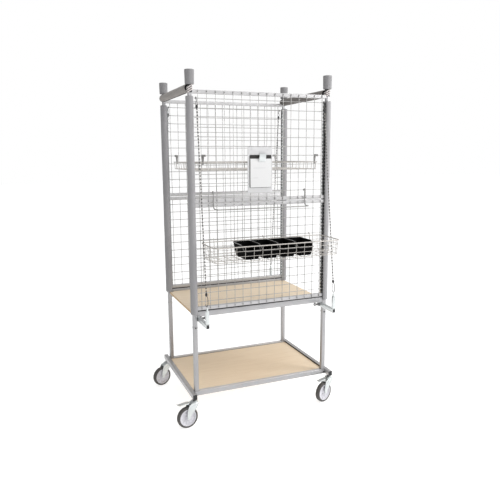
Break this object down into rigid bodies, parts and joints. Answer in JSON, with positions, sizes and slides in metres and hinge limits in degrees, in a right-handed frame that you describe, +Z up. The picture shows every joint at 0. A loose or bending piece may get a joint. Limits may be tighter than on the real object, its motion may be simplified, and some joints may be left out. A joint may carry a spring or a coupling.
{
  "type": "roll cage container",
  "caption": "Tall wheeled steel cage trolley with meshed long sides, open ends, plywood decks, foam-guarded posts, swivel casters and clip-on wire accessories.",
  "frame": {"origin": "on the floor under the middle of the overall bounding box, at wheel contact level; the middle of the four posts lies 41.637 mm to +X and 40.5 mm to +Y of it", "axes": "+X along the long side to the right seen from the front, +Y to the rear long side, +Z up"},
  "size_m": [1.0174, 0.989, 1.985],
  "materials": {
    "galvanised_tube": "dull galvanised tube",
    "galvanised_wire": "bright galvanised wire",
    "zinc_plate": "bright zinc plated",
    "birch_plywood": "clear sealed birch face",
    "grey_foam": "matte closed-cell foam",
    "dark_foam": "matte closed-cell foam",
    "black_plastic": "satin moulded",
    "wheel_plastic": "moulded",
    "grey_tyre": "matte",
    "dark_chain": "dark oxidised",
    "grey_plate": "satin sheet",
    "paper_white": "white board with sheet"
  },
  "bodies": {
    "trolley_frame": {"base_frame": "galvanised_tube", "upper_frame": "galvanised_tube", "lower_deck": "birch_plywood", "upper_deck": "birch_plywood", "front_left_rail_end_plug": "black_plastic", "front_right_rail_end_plug": "black_plastic", "rear_left_rail_end_plug": "black_plastic", "rear_right_rail_end_plug": "black_plastic", "front_upper_mesh_panel": "galvanised_wire", "front_lower_mesh_panel": "galvanised_wire", "rear_upper_mesh_panel": "galvanised_wire", "rear_lower_mesh_panel": "galvanised_wire", "front_left_post_sleeve": "grey_foam", "front_right_post_sleeve": "grey_foam", "rear_left_post_sleeve": "grey_foam", "rear_right_post_sleeve": "grey_foam", "front_left_corner_cap": "grey_foam", "front_right_corner_cap": "grey_foam", "rear_left_corner_cap": "grey_foam", "rear_right_corner_cap": "grey_foam", "left_top_rail_sleeve": "dark_foam", "right_top_rail_sleeve": "dark_foam", "front_left_caster_stem": "zinc_plate", "front_right_caster_stem": "zinc_plate", "rear_left_caster_stem": "zinc_plate", "rear_right_caster_stem": "zinc_plate", "clipboard_back_plate": "grey_plate", "clipboard_board": "paper_white"},
    "front_left_swivel": {"front_left_caster_fork": "zinc_plate"},
    "front_left_wheel": {"front_left_caster_wheel": "wheel_plastic", "front_left_caster_tyre": "grey_tyre"},
    "front_right_swivel": {"front_right_caster_fork": "zinc_plate"},
    "front_right_wheel": {"front_right_caster_wheel": "wheel_plastic", "front_right_caster_tyre": "grey_tyre"},
    "rear_left_swivel": {"rear_left_caster_fork": "zinc_plate"},
    "rear_left_wheel": {"rear_left_caster_wheel": "wheel_plastic", "rear_left_caster_tyre": "grey_tyre"},
    "rear_right_swivel": {"rear_right_caster_fork": "zinc_plate"},
    "rear_right_wheel": {"rear_right_caster_wheel": "wheel_plastic", "rear_right_caster_tyre": "grey_tyre"},
    "front_left_brake": {"front_left_brake_pedal": "zinc_plate"},
    "front_right_brake": {"front_right_brake_pedal": "zinc_plate"},
    "front_left_arm": {"front_left_support_arm": "zinc_plate"},
    "front_left_chain": {"front_left_stay_chain": "dark_chain"},
    "front_right_arm": {"front_right_support_arm": "zinc_plate"},
    "front_right_chain": {"front_right_stay_chain": "dark_chain"},
    "rear_left_arm": {"rear_left_support_arm": "zinc_plate"},
    "rear_left_chain": {"rear_left_stay_chain": "dark_chain"},
    "rear_right_arm": {"rear_right_support_arm": "zinc_plate"},
    "rear_right_chain": {"rear_right_stay_chain": "dark_chain"},
    "tray": {"inner_wire_tray": "galvanised_wire"},
    "basket": {"outer_wire_basket": "galvanised_wire"},
    "bin_1": {"picking_bin_1": "black_plastic"},
    "bin_2": {"picking_bin_2": "black_plastic"},
    "bin_3": {"picking_bin_3": "black_plastic"},
    "bin_4": {"picking_bin_4": "black_plastic"},
    "bail": {"swing_wire_bail": "zinc_plate"},
    "clip": {"clipboard_clip": "zinc_plate"}
  },
  "joints": [
    {"name": "front_left_swivel_turn", "type": "hinge", "parent": "trolley_frame", "child": "front_left_swivel", "pos_m": [-0.39886, -0.2805, 0.14], "axis": [0, 0, 1], "continuous": true},
    {"name": "front_left_wheel_spin", "type": "hinge", "parent": "front_left_swivel", "child": "front_left_wheel", "pos_m": [-0.44232, -0.28738, 0.0625], "axis": [-0.1564, 0.9877, 0], "continuous": true},
    {"name": "front_right_swivel_turn", "type": "hinge", "parent": "trolley_frame", "child": "front_right_swivel", "pos_m": [0.48214, -0.2805, 0.14], "axis": [0, 0, 1], "continuous": true},
    {"name": "front_right_wheel_spin", "type": "hinge", "parent": "front_right_swivel", "child": "front_right_wheel", "pos_m": [0.44079, -0.29555, 0.0625], "axis": [-0.342, 0.9397, 0], "continuous": true},
    {"name": "rear_left_swivel_turn", "type": "hinge", "parent": "trolley_frame", "child": "rear_left_swivel", "pos_m": [-0.39886, 0.3615, 0.14], "axis": [0, 0, 1], "continuous": true},
    {"name": "rear_left_wheel_spin", "type": "hinge", "parent": "rear_left_swivel", "child": "rear_left_wheel", "pos_m": [-0.44071, 0.3479, 0.0625], "axis": [-0.309, 0.9511, 0], "continuous": true},
    {"name": "rear_right_swivel_turn", "type": "hinge", "parent": "trolley_frame", "child": "rear_right_swivel", "pos_m": [0.48214, 0.3615, 0.14], "axis": [0, 0, 1], "continuous": true},
    {"name": "rear_right_wheel_spin", "type": "hinge", "parent": "rear_right_swivel", "child": "rear_right_wheel", "pos_m": [0.44079, 0.34645, 0.0625], "axis": [-0.342, 0.9397, 0], "continuous": true},
    {"name": "front_left_brake_press", "type": "hinge", "parent": "front_left_swivel", "child": "front_left_brake", "pos_m": [-0.43244, -0.28582, 0.143], "axis": [0.1564, -0.9877, 0], "range_deg": [0, 8]},
    {"name": "front_right_brake_press", "type": "hinge", "parent": "front_right_swivel", "child": "front_right_brake", "pos_m": [0.45019, -0.29213, 0.143], "axis": [0.342, -0.9397, 0], "range_deg": [0, 8]},
    {"name": "front_left_arm_fold", "type": "hinge", "parent": "trolley_frame", "child": "front_left_arm", "pos_m": [-0.34986, -0.2495, 0.623], "axis": [1, 0, 0], "range_deg": [0, 90]},
    {"name": "front_left_chain_swing", "type": "hinge", "parent": "trolley_frame", "child": "front_left_chain", "pos_m": [-0.34336, -0.2588, 1.832], "axis": [1, 0, 0], "range_deg": [0, 7.25]},
    {"name": "front_right_arm_fold", "type": "hinge", "parent": "trolley_frame", "child": "front_right_arm", "pos_m": [0.43314, -0.2495, 0.623], "axis": [1, 0, 0], "range_deg": [0, 90]},
    {"name": "front_right_chain_swing", "type": "hinge", "parent": "trolley_frame", "child": "front_right_chain", "pos_m": [0.42664, -0.2588, 1.832], "axis": [1, 0, 0], "range_deg": [0, 7.25]},
    {"name": "rear_left_arm_fold", "type": "hinge", "parent": "trolley_frame", "child": "rear_left_arm", "pos_m": [-0.34986, 0.3305, 0.623], "axis": [-1, 0, 0], "range_deg": [0, 90]},
    {"name": "rear_left_chain_swing", "type": "hinge", "parent": "trolley_frame", "child": "rear_left_chain", "pos_m": [-0.34336, 0.3398, 1.832], "axis": [-1, 0, 0], "range_deg": [0, 7.25]},
    {"name": "rear_right_arm_fold", "type": "hinge", "parent": "trolley_frame", "child": "rear_right_arm", "pos_m": [0.43314, 0.3305, 0.623], "axis": [-1, 0, 0], "range_deg": [0, 90]},
    {"name": "rear_right_chain_swing", "type": "hinge", "parent": "trolley_frame", "child": "rear_right_chain", "pos_m": [0.42664, 0.3398, 1.832], "axis": [-1, 0, 0], "range_deg": [0, 7.25]},
    {"name": "inner_tray_lift", "type": "slide", "parent": "trolley_frame", "child": "tray", "axis": [0, 0, 1], "range_m": [0, 0.03]},
    {"name": "outer_basket_lift", "type": "slide", "parent": "trolley_frame", "child": "basket", "axis": [0, 0, 1], "range_m": [0, 0.03]},
    {"name": "bin_1_lift", "type": "slide", "parent": "basket", "child": "bin_1", "axis": [0, 0, 1], "range_m": [0, 0.15]},
    {"name": "bin_2_lift", "type": "slide", "parent": "basket", "child": "bin_2", "axis": [0, 0, 1], "range_m": [0, 0.15]},
    {"name": "bin_3_lift", "type": "slide", "parent": "basket", "child": "bin_3", "axis": [0, 0, 1], "range_m": [0, 0.15]},
    {"name": "bin_4_lift", "type": "slide", "parent": "basket", "child": "bin_4", "axis": [0, 0, 1], "range_m": [0, 0.15]},
    {"name": "bail_swing", "type": "hinge", "parent": "trolley_frame", "child": "bail", "pos_m": [0.02464, -0.2588, 1.332], "axis": [-1, 0, 0], "range_deg": [0, 90]},
    {"name": "clip_open", "type": "hinge", "parent": "trolley_frame", "child": "clip", "pos_m": [0.03264, -0.2735, 1.5175], "axis": [-1, 0, 0], "range_deg": [0, 20]}
  ],
  "couplings": [
    {"joint": "front_left_chain_swing", "follows": "front_left_arm_fold", "ratio": 0.080567},
    {"joint": "front_right_chain_swing", "follows": "front_right_arm_fold", "ratio": 0.080567},
    {"joint": "rear_left_chain_swing", "follows": "rear_left_arm_fold", "ratio": 0.080567},
    {"joint": "rear_right_chain_swing", "follows": "rear_right_arm_fold", "ratio": 0.080567}
  ]
}
